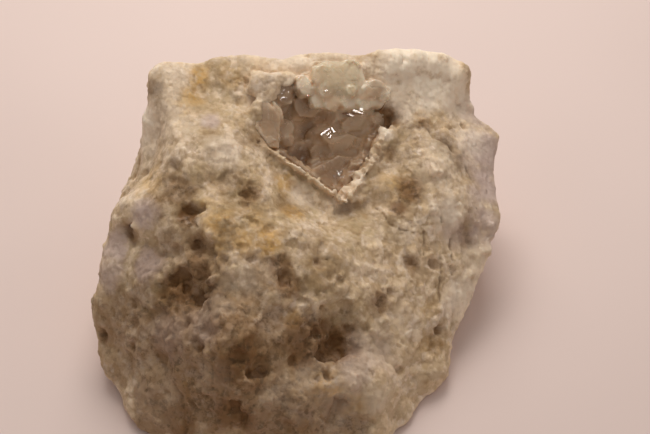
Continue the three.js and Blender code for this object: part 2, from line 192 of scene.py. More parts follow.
CHALK_AND_LIGHT = listed(
    Stain,
    (330, 54, 9, 0.4), (270, 60, 9, 0.4), (400, 60, 8, 1), (300, 66, 7, 0.6), (395, 75, 8, 1),
    (414, 66, 9, 1), (430, 74, 12, 1), (165, 80, 5, 0.4), (168, 84, 6, 0.4), (430, 84, 10, 1),
    (255, 100, 4, 0.5), (414, 96, 7, 0.7), (450, 95, 8, 0.8), (160, 110, 6, 0.4), (148, 120, 5, 1),
    (172, 120, 8, 0.3), (258, 120, 4, 0.4), (144, 132, 6, 0.6), (387, 132, 3, 1),
    (150, 150, 6, 0.3), (225, 150, 5, 0.5), (265, 139, 3, 0.3), (470, 140, 5, 0.6),
    (372, 160, 2, 0.7), (300, 170, 2, 0.5), (440, 168, 7, 0.3), (320, 184, 2, 0.5),
    (360, 178, 2, 0.7), (300, 195, 4, 0.5), (343, 196, 3.2, 0.3), (336, 204, 4, 0.3),
    (446, 212, 5, 0.8), (480, 262, 5, 0.5), (242, 278, 5, 0.3), (466, 300, 7, 0.7),
    (222, 306, 3, 0.15), (408, 324, 6, 0.15), (214, 352, 3, 0.12), (375, 345, 6, 0.2),
    (216, 374, 5, 0.1), (312, 374, 5, 0.1), (305, 378, 3, 0.25), (356, 382, 5, 0.2),
    (276, 398, 7, 0.08), (290, 396, 6, 0.1), (338, 398, 7, 0.25), (378, 400, 5, 0.35),
    (150, 402, 8, 0.1),
)

Crystal = namedtuple("Crystal", "x y width height thickness turn lean proud cut")
CRYSTALS = listed(
    Crystal,
    # the pale block and the lumps on the rim
    (349, 67, 5, 3.6, 3.4, 12, 0, 0.5, 0.8), (322, 76, 4.4, 5, 3.6, -8, 0, 0.4, 0.8),
    (303, 86, 3.4, 4.6, 3.4, 6, -6, 1.8, 0.6), (374, 88, 4.6, 4.2, 3.6, -10, 4, 1.4, 0.6),
    (390, 103, 3.4, 3.2, 3, 20, 6, 1.4, 0.5), (317, 101, 3.2, 3.2, 3, 10, 8, 1.6, 0.5),
    (331, 104, 3.4, 3.2, 3, -16, 10, 1.7, 0.5), (346, 102, 3.2, 3, 3, 24, 6, 1.6, 0.5),
    (358, 98, 2.8, 3, 2.8, -8, 8, 1.5, 0.5), (323, 92, 2.6, 2.6, 2.6, 30, 4, 1.6, 0.5),
    (338, 94, 2.8, 2.4, 2.6, 12, 8, 1.5, 0.5), (351, 91, 2.4, 2.4, 2.4, -20, 6, 1.5, 0.5),
    # the brown block and the shaded cube under the rim
    (284, 92, 4, 5.2, 3.6, 4, 4, 0.6, 0.4), (304, 105, 4.8, 5, 4, 3, 12, 1.2, 0.35),
    # the tall pale one at the left, and the left wall
    (253, 113, 3.4, 7.4, 3.2, 8, 0, 1, 0.5), (262, 139, 3.2, 4.4, 3, -30, 0, 0.9, 0.5),
    (268, 123, 5.8, 10.6, 4.4, 3, 2, 0.5, 0.3), (278, 112, 1.8, 5.4, 3, 12, 6, 0.9, 0.4),
    (284, 130, 4.4, 5.6, 4, -12, 14, 0.7, 0.5), (300, 134, 3.8, 3.6, 3.4, 20, 16, 0.6, 0.5),
    (290, 148, 3.6, 3.4, 3.4, 6, 16, 0.6, 0.5),
    # the middle, the large one at the bottom, and the right wall
    (318, 118, 8, 4.6, 4.6, -8, 18, 1.8, 0.6), (299, 121, 5, 5.4, 4.4, 12, 16, 1.6, 0.6),
    (312, 127, 5.6, 4.4, 4, 24, 18, 1.4, 0.6), (304, 150, 4.6, 5.6, 4, -14, 18, 1, 0.6),
    (318, 150, 4.4, 4.6, 4, 16, 20, 1, 0.6), (357, 117, 8.6, 4.8, 4.6, 14, 22, 1.6, 0.5),
    (327, 134, 3.6, 3.6, 3.4, 30, 20, 1.8, 0.4), (344, 142, 7.6, 5.2, 5, -12, 22, 2, 0.6),
    (337, 172, 12, 8, 6.5, -4, 10, 3, 0.6), (371, 148, 3.2, 5.6, 3.6, -28, 8, 0.6, 0.5),
    (362, 164, 3, 4, 3.2, -34, 10, 0.6, 0.5), (379, 119, 3.2, 3.6, 3.2, 10, 12, 0.5, 0.5),
)

CRUST_BROWN = listed(
    Stain,
    (376, 88, 3.4, 0.5), (284, 92, 3.6, 0.8), (286, 112, 4, 0.6), (304, 106, 3.2, 0.6),
    (268, 117, 4, 0.7), (322, 120, 4.5, 0.6), (277, 130, 8, 0.3), (306, 133, 4, 0.9),
    (350, 130, 6, 0.3), (266, 138, 3.5, 0.5), (283, 145, 4, 0.6), (287, 160, 3, 0.8),
    (300, 160, 4, 0.8), (303, 157, 4, 1), (300, 172, 3, 0.9), (337, 170, 8, 0.75),
    (315, 184, 3, 0.9), (325, 182, 4, 0.8), (335, 182, 13, 0.35), (340, 183, 4, 0.5),
)

CRUST_MILKY = listed(
    Stain,
    (382, 100, 4, 0.5), (268, 104, 5, 0.25), (280, 110, 2, 0.8), (350, 116, 4, 0.2),
    (345, 140, 3.5, 0.25),
)

# Places of the edge that stand out a little (or, below zero, lie back).
Swell = namedtuple("Swell", "x y radius height")
SWELLS = listed(
    Swell,
    (400, 57, 7, 0.9), (428, 56, 7, 1), (458, 57, 7, 1.1), (478, 104, 5, 0.4), (150, 80, 6, 0.4),
    (151, 110, 7, 0.8), (97, 275, 8, 1), (96, 310, 7, 0.3), (95, 345, 7, 0.6), (496, 228, 5, 0.6),
    (493, 262, 6, -1), (486, 122, 5, -0.4), (494, 185, 6, -0.4), (142, 145, 6, -0.7),
    (136, 165, 6, -0.5),
)

# Thin dark cracks, drawn through picture pixels.
CRACKS = [
    [(420, 122), (432, 136), (446, 143), (455, 155), (465, 170), (473, 184)],
    [(378, 209), (388, 222), (401, 230), (418, 233)],
    [(423, 232), (425, 258)],
    [(441, 216), (442, 262), (440, 300)],
    [(449, 240), (453, 275)],
    [(362, 174), (372, 171), (386, 176)],
]
# Where the rock is fibrous, with its fibres upright in the picture.
FIBROUS = listed(Stain, (432, 262, 14, 1), (440, 320, 14, 1), (405, 300, 10, 0.5))

# Thin clear crystals whose faces throw the small lamp's light at the camera.
Glint = namedtuple("Glint", "x y width depth turn")
GLINTS = listed(
    Glint,
    (348, 114.5, 2.6, 0.5, -12), (357.5, 112, 2.6, 0.5, -14), (361.5, 110, 0.8, 0.5, -10),
    (323, 133.5, 1.5, 0.35, 42), (326, 131.5, 1.9, 0.4, 38), (328.5, 134, 1.2, 0.3, 48),
    (333, 130.5, 1.4, 0.45, -58), (330, 137, 0.9, 0.3, 60), (283, 91, 0.5, 0.15, 20),
    (283, 98, 0.6, 0.15, -15), (326, 91, 0.5, 0.4, 0), (308, 96, 0.4, 0.3, 40),
    (356, 182, 0.4, 0.2, 50),
)
# Places that sparkle: how far around the pixel, and how many tiny crystals.
Sparkle = namedtuple("Sparkle", "x y reach count")
SPARKLES = listed(
    Sparkle,
    (340, 174, 4.5, 14), (322, 167, 3, 4), (326, 91, 2.5, 4), (284, 92, 3, 6), (283, 98, 3, 5),
    (346, 193, 7, 6),
)

# Single grains of the rock around the hollow.
Grain = namedtuple("Grain", "x y width height proud")
GRAINS = listed(
    Grain,
    (381, 186, 9.4, 7.2, 1.2), (391, 136, 4.6, 3.4, 0.5), (407, 150, 3.6, 3, 0.4),
    (300, 66, 4.4, 3.4, 0.4), (383, 76, 4, 3, 0.3), (250, 118, 3.4, 5, 0.4),
    (254, 92, 4.4, 3.6, 0.3),
)

# The pixels of the crumbly knob at the hollow's tip.
TIP_MIDDLE, TIP_REACH = np.array([343.0, 194.0]), np.array([9.0, 9.0])
TIP_CRUMBS = 60

# The greenish crystal in the middle of the rim, by pixel; its radius is in millimetres.
GREEN_CRYSTAL, GREEN_RADIUS = (339, 75), 5.5

# The hollow's walls, in mouth coordinates: right, up and out of the mouth.
LEFT_WALL_TOP = [
    (-17.4, -2.9, 0.9), (-12.8, -5.8, 1.6), (-8.7, -8.1, 1.8), (-4.2, -10.8, 1.6),
    (0.2, -13.9, 1.1),
]
RIGHT_WALL_TOP = [
    (1, -14.3, 1), (3.4, -11.8, 1.5), (5.4, -8.3, 0.9), (7.2, -5.7, 1.6), (9.4, -3.4, 1),
    (9.9, 0.3, 1.6), (11.8, 2.8, 1.1), (14.6, 3.9, 0.7),
]
RIGHT_BANK = [
    (2.6, -14.2, 0.1), (5, -11.2, 0.3), (7, -8, 0.2), (9.4, -5.2, 0.3), (11.2, -2.4, 0.2),
    (12.2, 0.2, 0.4), (14.2, 2.2, 0.1),
]
# Rock fills the groove along the left wall, all but a slit beside the wall.
GROOVE_FILL = [
    (-16.4, -5.6, -0.7), (-13.6, -7.6, -1), (-11.2, -9.2, -1.2), (-6.2, -12.5, -1.3),
    (-0.6, -16, -1.3),
]
# Crystals climb the inner side of the right wall, almost to its ragged top.
RIGHT_LINING = [
    (2, -11.8, -0.5), (4.2, -7.9, -0.5), (6, -5.2, -0.4), (8.2, -2.9, -0.5), (8.6, 0.6, -0.5),
    (10.4, 3.2, -0.8), (13.2, 4.8, -1.2),
]

# Here the rock has grown over the crust, this high.
Overgrowth = namedtuple("Overgrowth", "x y radius height")
OVERGROWN = listed(
    Overgrowth,
    (256, 84, 4.6, 0.5), (266, 88, 3.4, 0.5), (284, 74, 2.8, 0.5), (257, 100, 1.3, 0.8),
    (257, 106, 1.3, 0.8), (257, 112, 1.4, 1.2), (257, 118, 1.4, 1.3), (258, 124, 1.4, 1.3),
    (260, 130, 1.4, 1.3), (263, 136, 1.4, 1.3), (267, 141, 1.4, 1.2), (271, 145, 1.3, 1),
)

# ---------------------------------------------------------------- sizes

ROCK_VOXEL = 0.36
CRUST_VOXEL = 0.17
BAND = 9  # half-width of the distance field, in voxels
SEAM = 0.6  # rock fills what is closer than this to both the rock and the crust
UNDERSIDE = 1.5  # what lies lower is hardly seen
GRAIN_BLOCKS = ((120, 2.6, 4.2), (900, 1.1, 2.4))  # how many, and from and to which size
ROCK_TRIANGLES = 196000
CRUST_TRIANGLES = 180000


# ---------------------------------------------------------------- repeatable noise


def smoothstep(value, low, high):
    share = np.clip((value - low) / (high - low), 0.0, 1.0)
    return share * share * (3.0 - 2.0 * share)


def lattice_random(cells, seed):
    """One repeatable random number from 0 to 1 for each whole-numbered cell."""
    mask = np.uint64(0xFFFFFFFF)
    whole = (cells + 4096).astype(np.uint64)
    h = whole[:, 0] * np.uint64(73856093)
    h ^= whole[:, 1] * np.uint64(19349663)
    h ^= whole[:, 2] * np.uint64(83492791)
    h ^= np.uint64(seed * 2654435761 % 4294967296)
    h &= mask
    h ^= h >> np.uint64(16)
    h = (h * np.uint64(0x7FEB352D)) & mask
    h ^= h >> np.uint64(15)
    h = (h * np.uint64(0x846CA68B)) & mask
    h ^= h >> np.uint64(16)
    return (h / 4294967296.0).astype(np.float32)


def cell_corners(base, share):
    """The eight corners of each point's cell, with how much each of them counts."""
    for corner in np.ndindex(2, 2, 2):
        corner = np.array(corner)
        yield base + corner, np.prod(np.where(corner == 1, share, 1.0 - share), axis=1)


def noise(points, size, seed):
    """Smooth noise from -1 to 1 whose lumps are about one size across."""
    scaled = points / size
    base = np.floor(scaled).astype(np.int64)
    total = np.zeros(len(points), np.float32)
    for cell, weight in cell_corners(base, smoothstep(scaled - base, 0.0, 1.0)):
        total += weight * lattice_random(cell, seed)
    return 2.0 * total - 1.0


def layered_noise(points, size, seed):
    """Three layers of noise, each half as large and half as strong as the one before."""
    total = np.zeros(len(points), np.float32)
    for layer in range(3):
        total += noise(points, size / 2**layer, seed + layer) / 2**layer
    return total


def shifted(points, amount, size, seed):
    """The points, each moved a little by noise, so that straight edges turn wavy."""
    ways = [noise(points, size, seed + axis) for axis in range(3)]
    return points + amount * np.stack(ways, axis=1)


def lattice_places(cells, seed):
    """Three repeatable random numbers from 0 to 1 for each cell."""
    return np.stack([lattice_random(cells, seed + axis) for axis in range(3)], axis=1)


def packing(points, size, seed):
    """An irregular packing of grains: how far each point is from the middle of its grain
    and from the next one, which grain it is in, and the way from the middle to it."""
    scaled = points / size
    base = np.floor(scaled).astype(np.int64)
    nearest = np.full(len(points), 9.0, np.float32)
    second = np.full(len(points), 9.0, np.float32)
    grain = np.zeros((len(points), 3), np.int64)
    way = np.zeros((len(points), 3), np.float32)
    for dx, dy, dz in np.ndindex(3, 3, 3):
        cell = base + np.array([dx - 1, dy - 1, dz - 1])
        offset = (scaled - cell - lattice_places(cell, seed)).astype(np.float32)
        away = np.sqrt((offset**2).sum(axis=1))
        closer = away < nearest
        second = np.where(closer, nearest, np.minimum(second, away))
        nearest = np.where(closer, away, nearest)
        grain[closer] = cell[closer]
        way[closer] = offset[closer]
    return nearest * size, second * size, grain, way * size


def grain_relief(points, size, height, seed):
    """Blocky grains: each a tilted facet, a little domed. Also its tint and its crease."""
    wavy = shifted(points, 0.22 * size, 0.8 * size, seed + 40)
    nearest, second, grain, way = packing(wavy, size, seed)
    tilt = lattice_places(grain, seed + 10) - 0.5
    step = lattice_random(grain, seed + 20) - 0.5
    dome = 0.3 - (nearest / size) ** 2
    relief = height * (0.45 * dome + 0.9 * step + 1.7 * (way * tilt).sum(axis=1) / size)
    crease = 1.0 - smoothstep(second - nearest, 0.0, 0.3 * size)
    relief -= 0.3 * height * crease
    return relief, lattice_random(grain, seed + 30), crease


# ---------------------------------------------------------------- fields of distance


class Field:
    """Signed distances (mm) on a grid; negative inside."""

    def __init__(self, values, low, voxel):
        self.values = values
        self.low = np.array(low)
        self.voxel = voxel

    def copy(self):
        return Field(self.values.copy(), self.low, self.voxel)

    def places(self, where):
        """Positions (mm) of the grid points that where selects."""
        return (np.argwhere(where) + self.low) * self.voxel

    def window(self, middle, reach):
        """The part of the grid within reach of a point, and the positions in it."""
        first = np.floor((middle - reach) / self.voxel).astype(int) - self.low
        last = np.ceil((middle + reach) / self.voxel).astype(int) - self.low + 1
        first = np.clip(first, 0, self.values.shape)
        last = np.clip(last, first, self.values.shape)
        part = tuple(slice(a, b) for a, b in zip(first, last))
        axes = [(np.arange(a, b) + l) * self.voxel for a, b, l in zip(first, last, self.low)]
        return part, np.stack(np.meshgrid(*axes, indexing="ij"), axis=-1)


def mesh_arrays(obj):
    """A mesh's points in millimetres and its triangles."""
    mesh = obj.data
    points = np.empty(len(mesh.vertices) * 3, np.float32)
    mesh.vertices.foreach_get("co", points)
    mesh.calc_loop_triangles()
    triangles = np.empty(len(mesh.loop_triangles) * 3, np.int32)
    mesh.loop_triangles.foreach_get("vertices", triangles)
    return points.reshape(-1, 3) / MM, triangles.reshape(-1, 3)


def field_of(obj, voxel, margin=3):
    points, triangles = mesh_arrays(obj)
    grid = openvdb.FloatGrid.createLevelSetFromPolygons(
        points.astype(np.float32),
        triangles=triangles.astype(np.uint32),
        transform=openvdb.createLinearTransform(voxelSize=voxel),
        halfWidth=BAND,
    )
    low, high = (np.array(corner) for corner in grid.evalActiveVoxelBoundingBox())
    low -= margin
    high += margin
    values = np.full(high - low + 1, grid.background, np.float32)
    grid.copyToArray(values, ijk=tuple(int(v) for v in low))
    return Field(values, low, voxel)


def blurred(field, radius):
    """The field blurred with a bell curve, which rounds what is sharp in it."""
    reach = int(math.ceil(2.5 * radius / field.voxel))
    steps = np.arange(-reach, reach + 1)
    weights = np.exp(-0.5 * (steps * field.voxel / radius) ** 2)
    weights /= weights.sum()
    values = field.values
    for axis in range(3):
        padding = [(reach, reach) if a == axis else (0, 0) for a in range(3)]
        padded = np.pad(values, padding, mode="edge")
        total = np.zeros_like(values)
        for step, weight in enumerate(weights):
            part = [slice(None)] * 3
            part[axis] = slice(step, step + values.shape[axis])
            total += np.float32(weight) * padded[tuple(part)]
        values = total
    return Field(values, field.low, field.voxel)


def turned(random, count=1):
    """Random rotations."""
    q = random.normal(size=(count, 4))
    q /= np.linalg.norm(q, axis=1)[:, None]
    w, x, y, z = q.T
    rows = [
        [1 - 2 * (y * y + z * z), 2 * (x * y - w * z), 2 * (x * z + w * y)],
        [2 * (x * y + w * z), 1 - 2 * (x * x + z * z), 2 * (y * z - w * x)],
        [2 * (x * z - w * y), 2 * (y * z + w * x), 1 - 2 * (x * x + y * y)],
    ]
    return np.stack([np.stack(row, axis=-1) for row in rows], axis=1)


def block_distance(local, half, cut):
    """Distance to a block with cut corners, in the block's own axes."""
    size = np.abs(local)
    faces = (size - half).max(axis=-1)
    corners = (size.sum(axis=-1) - half.sum() + cut) / math.sqrt(3)
    return np.maximum(faces, corners)


def join_smoothly(field, part, shape, soft, sign=1):
    """Adds a shape to a part of the field, or takes it away where sign is -1. The seam is
    rounded over soft millimetres."""
    here = sign * field.values[part]
    blend = np.clip(0.5 + 0.5 * (here - shape) / soft, 0.0, 1.0)
    field.values[part] = sign * (here + (shape - here) * blend - soft * blend * (1.0 - blend))


def add_block(field, middle, half, rotation, cut, soft, trim=None, sign=1):
    """Adds a block with cut corners; trim turns a second, larger block that trims it."""
    part, places = field.window(middle, np.linalg.norm(half) + 1.0)
    block = block_distance((places - middle) @ rotation, half, cut)
    if trim is not None:
        block = np.maximum(block, block_distance((places - middle) @ trim, 1.08 * half, cut))
    join_smoothly(field, part, block, soft, sign)


def add_dome(field, middle, half, rotation):
    """Adds an egg-shaped grain."""
    part, places = field.window(middle, half.max() + 1.5)
    scaled = np.linalg.norm((places - middle) @ rotation / half, axis=-1)
    join_smoothly(field, part, (scaled - 1.0) * half.min(), 1.2)


def carve_block(*block):
    """Takes a block with cut corners away."""
    add_block(*block, sign=-1)


def value_at(field, points):
    """The field's value at each point, evened between the grid points around it."""
    scaled = points / field.voxel - field.low
    base = np.clip(np.floor(scaled).astype(int), 0, np.array(field.values.shape) - 2)
    total = np.zeros(len(points), np.float32)
    for cell, weight in cell_corners(base, scaled - base):
        total += weight * field.values[tuple(cell.T)]
    return total


def skin_of(field):
    """The field's zero surface: points (mm), four-sided faces that look outwards, and the
    points' normals."""
    grid = openvdb.FloatGrid(BAND * field.voxel)
    grid.copyFromArray(field.values, ijk=tuple(int(v) for v in field.low))
    grid.transform = openvdb.createLinearTransform(voxelSize=field.voxel)
    points, quads = grid.convertToQuads(isovalue=0.0)
    points = points.astype(np.float64)
    quads = quads.astype(np.int64)
    a, b, c = (points[quads[:, i]] for i in range(3))
    if (np.cross(b - a, c - a) * a).sum() < 0:
        quads = quads[:, ::-1]
    points, quads = largest_skin(points, quads)
    return points, quads, normals_of(points, quads)


def largest_skin(points, faces):
    """Leaves out crumbs and bubbles: keeps the largest connected surface."""
    label = np.arange(len(points))
    edges = np.concatenate([faces[:, [i, (i + 1) % faces.shape[1]]] for i in range(faces.shape[1])])
    while True:
        least = np.minimum(label[edges[:, 0]], label[edges[:, 1]])
        before = label.copy()
        np.minimum.at(label, edges[:, 0], least)
        np.minimum.at(label, edges[:, 1], least)
        label = label[label]
        if (label == before).all():
            break
    names, counts = np.unique(label, return_counts=True)
    kept = label == names[counts.argmax()]
    number = np.cumsum(kept) - 1
    return points[kept], number[faces[kept[faces[:, 0]]]]


def normals_of(points, quads):
    across = points[quads[:, 2]] - points[quads[:, 0]]
    along = points[quads[:, 3]] - points[quads[:, 1]]
    face = np.cross(across, along)
    total = np.zeros_like(points)
    for corner in range(4):
        for axis in range(3):
            total[:, axis] += np.bincount(quads[:, corner], face[:, axis], len(points))
    return total / np.maximum(np.linalg.norm(total, axis=1), 1e-9)[:, None]


# ---------------------------------------------------------------- placing marks


class Seen:
    """Finds where a picture pixel lies on a surface."""

    def __init__(self, points, faces):
        self.tree = BVHTree.FromPolygons(points.tolist(), faces.tolist())

    def place(self, x, y):
        spread = 2 * math.tan(FIELD_OF_VIEW / 2) / PICTURE_WIDTH
        right = (x - PICTURE_WIDTH / 2) * spread
        up = (PICTURE_HEIGHT / 2 - y) * spread
        way = right * VIEW_RIGHT + up * VIEW_UP - VIEW_BACK
        hit, normal, _, _ = self.tree.ray_cast(Vector(EYE), Vector(way).normalized())
        if hit is None:
            return None, None
        return np.array(hit), np.array(normal)

    def each(self, marks):
        """Each mark with its place on the surface and the normal there, if it has one."""
        for mark in marks:
            place, normal = self.place(mark.x, mark.y)
            if place is not None:
                yield mark, place, normal


def stain_mask(points, stains, seen):
    """How strongly the stains cover each point, from 0 to 1, with ragged edges."""
    cover = np.zeros(len(points), np.float32)
    ragged = 1.0 + 0.35 * layered_noise(points, 3.4, 700)
    for stain, place, _ in seen.each(stains):
        away = np.linalg.norm(points - place, axis=1) / (stain.radius * ragged)
        cover = np.maximum(cover, stain.strength * (1.0 - smoothstep(away, 0.35, 1.15)))
    return cover


def near_line(points, line, low, high):
    """How close each point is to a line, from 1 within low of it to 0 beyond high."""
    cover = np.zeros(len(points), np.float32)
    for start, end in zip(line, line[1:]):
        along = end - start
        share = np.clip((points - start) @ along / (along @ along), 0, 1)
        away = np.linalg.norm(points - start - share[:, None] * along, axis=1)
        cover = np.maximum(cover, 1.0 - smoothstep(away, low, high))
    return cover


def crack_mask(points, seen):
    """How close each point is to a crack, from 0 to 1."""
    wavy = shifted(points, 0.45, 1.3, 60)
    lines = [[seen.place(x, y)[0] for x, y in crack] for crack in CRACKS]
    return np.max([near_line(wavy, line, 0.1, 0.5) for line in lines], axis=0)


def swelling(points, seen):
    """How far (mm) the named places of the rock's edge stand out or lie back."""
    height = np.zeros(len(points), np.float32)
    for swell, place, _ in seen.each(SWELLS):
        away = np.linalg.norm(points - place, axis=1)
        height += swell.height * (1.0 - smoothstep(away, 0.3 * swell.radius, swell.radius))
    return height


def mouth_coordinates(points):
    """How far each point lies right, up and out of the mouth's middle."""
    local = points - MOUTH
    return local @ MOUTH_RIGHT, local @ MOUTH_UP, local @ MOUTH_OUT


def near_mouth(points, reach, fade):
    """How near each point is to the hollow, from 1 within reach of it to 0."""
    right, up, out = mouth_coordinates(points)
    away = np.maximum(np.abs(right + 2) / 1.15, np.abs(up))
    away = np.maximum(away, np.abs(out + 6) * 1.1)
    return 1.0 - smoothstep(away, reach, reach + fade)


# ---------------------------------------------------------------- making meshes

BOX_SIDES = [(3, 2, 1, 0), (4, 5, 6, 7), (0, 1, 5, 4), (1, 2, 6, 5), (2, 3, 7, 6), (3, 0, 4, 7)]


def add_object(name, data):
    obj = bpy.data.objects.new(name, data)
    bpy.context.scene.collection.objects.link(obj)
    return obj


def make_object(name, points, faces, marks=None):
    """A mesh object from points in millimetres, with its marks as float attributes."""
    mesh = bpy.data.meshes.new(name)
    sides = faces.shape[1]
    mesh.vertices.add(len(points))
    mesh.vertices.foreach_set("co", (points * MM).astype(np.float32).ravel())
    mesh.loops.add(faces.size)
    mesh.loops.foreach_set("vertex_index", faces.astype(np.int32).ravel())
    mesh.polygons.add(len(faces))
    mesh.polygons.foreach_set("loop_start", np.arange(0, faces.size, sides, dtype=np.int32))
    mesh.polygons.foreach_set("loop_total", np.full(len(faces), sides, np.int32))
    mesh.update(calc_edges=True)
    mesh.validate()
    for mark, values in (marks or {}).items():
        attribute = mesh.attributes.new(mark, "FLOAT", "POINT")
        attribute.data.foreach_set("value", values.astype(np.float32))
    return add_object(name, mesh)


def lightened(obj, triangles, keep=None):
    """Thins the mesh to a number of triangles, least where keep is high."""
    decimate = obj.modifiers.new("thin", "DECIMATE")
    count = sum(len(p.vertices) - 2 for p in obj.data.polygons)
    decimate.ratio = min(1.0, triangles / count)
    if keep is not None:
        group = obj.vertex_groups.new(name="thin")
        weights = 1.0 - keep
        for level in range(11):
            chosen = np.nonzero(np.round(weights * 10) == level)[0]
            group.add(chosen.tolist(), level / 10, "REPLACE")
        decimate.vertex_group = "thin"
        decimate.vertex_group_factor = 2.0
    depsgraph = bpy.context.evaluated_depsgraph_get()
    thin = bpy.data.meshes.new_from_object(obj.evaluated_get(depsgraph), depsgraph=depsgraph)
    obj.modifiers.clear()
    obj.vertex_groups.clear()
    obj.data = thin


# ---------------------------------------------------------------- the rock


def random_surface_points(points, normals, count, random, weight):
    chosen = random.choice(len(points), count, replace=False, p=weight / weight.sum())
    return points[chosen], normals[chosen]


def roughness_weight(points, seen, least):
    """How likely each point is to get a grain or a dent: most in the rough places, less in
    the smooth ones, and hardly in the hollow or underneath."""
    rough = stain_mask(points, ROUGH, seen)
    smooth = stain_mask(points, SMOOTH, seen)
    weight = (least + rough) * (1.0 - smooth) * (1.0 - near_mouth(points, 15, 3)) + 1e-6
    return weight * ((points[:, 2] > UNDERSIDE) + 0.02)


def add_grain_blocks(field, seen):
    """Blocky crystals and grains that stand a little proud of the rock."""
    random = np.random.default_rng(41)
    points, _, normals = skin_of(field)
    weight = roughness_weight(points, seen, 0.35)
    for count, least, most in GRAIN_BLOCKS:
        places, outward = random_surface_points(points, normals, count, random, weight)
        rotations = turned(random, count)
        sizes = random.uniform(least, most, (count, 1)) * random.uniform(0.75, 1.2, (count, 3))
        sunk = 0.5 * sizes.min(axis=1) * random.uniform(1.0, 1.3, count)
        middles = places - outward * sunk[:, None]
        depths = -value_at(field, middles)
        for middle, rotation, size, depth in zip(middles, rotations, sizes, depths):
            # A block on a thin edge would stick out of the rock.
            if depth > 0.45 * size.min():
                add_block(field, middle, size / 2, rotation, 0.25 * size.min(), 0.35)


def carve_hole(field, middle, radius, random):
    """An angular hole, as left between blocky crystals."""
    for _ in range(5):
        half = radius * random.uniform(0.35, 0.8, 3)
        place = middle + random.normal(size=3) * 0.5 * radius
        carve_block(field, place, half, turned(random)[0], 0.5 * half.min(), 0.8)


def carve_pits(field, seen):
    """The named dents, and many small ones, most of them in the rough front."""
    random = np.random.default_rng(17)
    for pit, place, normal in seen.each(PITS):
        carve_hole(field, place + normal * 0.7 * pit.radius, 1.15 * pit.radius, random)
    points, _, normals = skin_of(field)
    count = 160
    weight = roughness_weight(points, seen, 0.25)
    places, outward = random_surface_points(points, normals, count, random, weight)
    sizes = random.uniform(0.6, 1.4, count)
    for place, way, size in zip(places, outward, sizes):
        carve_hole(field, place + way * 0.6 * size, size, random)


def along_line(line, spacing, random):
    """Places on a line drawn in mouth coordinates, at uneven distances."""
    for start, end in zip(line, line[1:]):
        start, end = np.array(start), np.array(end)
        steps = max(1, round(np.linalg.norm(end - start) / spacing))
        for step in range(steps):
            yield start + (end - start) * (step + random.uniform(0, 0.8)) / steps


def from_mouth(right, up, out):
    return MOUTH + right * MOUTH_RIGHT + up * MOUTH_UP + out * MOUTH_OUT


def roughen_walls(field):
    """Crumbles the two walls of the hollow and half fills the groove beside the left one."""
    random = np.random.default_rng(29)
    for right, up, out in along_line(GROOVE_FILL, 0.6, random):
        half = 1.2 * random.uniform(0.85, 1.15, 3)
        add_block(field, from_mouth(right, up, out), half, turned(random)[0], 0.6, 0.5)
    size = 0.45
    for line, spacing in ((LEFT_WALL_TOP, 0.6), (RIGHT_WALL_TOP, 0.2)):
        for right, up, out in along_line(line, spacing, random):
            half = size * random.uniform(0.6, 1.2, 3)
            middle = from_mouth(*(np.array([right, up, out]) + random.normal(size=3) * 0.4))
            if random.random() < 0.45:
                carve_block(field, middle, half, turned(random)[0], 0.4 * size, 0.15)
            else:
                middle = middle - MOUTH_OUT * 0.7
                add_block(field, middle, half, turned(random)[0], 0.4 * size, 0.15)
    for right, up, out in along_line(RIGHT_BANK, 0.3, random):
        half = random.uniform(0.5, 1.2, 3)
        middle = from_mouth(right + random.normal(), up + random.normal(), out - 0.5)
        add_block(field, middle, half, turned(random)[0], 0.5, 0.4)


def crumble_tip(field, seen):
    """Crumbs of pale rock where the hollow's two walls meet."""
    random = np.random.default_rng(43)
    for _ in range(TIP_CRUMBS):
        x, y = TIP_MIDDLE + random.uniform(-1, 1, 2) * TIP_REACH
        place, normal = seen.place(x, y)
        half = random.uniform(0.25, 0.7, 3)
        add_block(field, place + normal * 0.1, half, turned(random)[0], 0.4 * half.min(), 0.15)


def add_grains(field, seen):
    """The named grains around the hollow, low and rounded."""
    random = np.random.default_rng(37)
    for grain, place, normal in seen.each(GRAINS):
        turn = random.uniform(-0.4, 0.4)
        right = math.cos(turn) * MOUTH_RIGHT + math.sin(turn) * MOUTH_UP
        right = unit(right - (right @ normal) * normal)
        axes = np.stack([right, np.cross(normal, right), normal], axis=1)
        half = np.array([grain.width, grain.height, grain.height]) / 2
        add_dome(field, place - normal * (half[2] - grain.proud), half, axes)


def seat_crust(field, seen_crust):
    """Closes the seam between the rock and the crust with rock, and lets the rock grow over
    the crust's left side."""
    crust = field_of(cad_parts["crystal_crust"], field.voxel)
    start = crust.low - field.low
    part = tuple(slice(a, a + n) for a, n in zip(start, crust.values.shape))
    rock = field.values[part]
    seam = np.maximum(crust.values, rock) - SEAM
    joined = np.minimum(rock, seam)
    places = crust.places(np.ones_like(crust.values, bool)).reshape(*crust.values.shape, 3)
    rounded = blurred(crust, 0.7).values
    for spot, middle, _ in seen_crust.each(OVERGROWN):
        away = np.linalg.norm(places - middle, axis=-1) - spot.radius
        joined = np.minimum(joined, np.maximum(rounded - spot.height, away))
    field.values[part] = joined


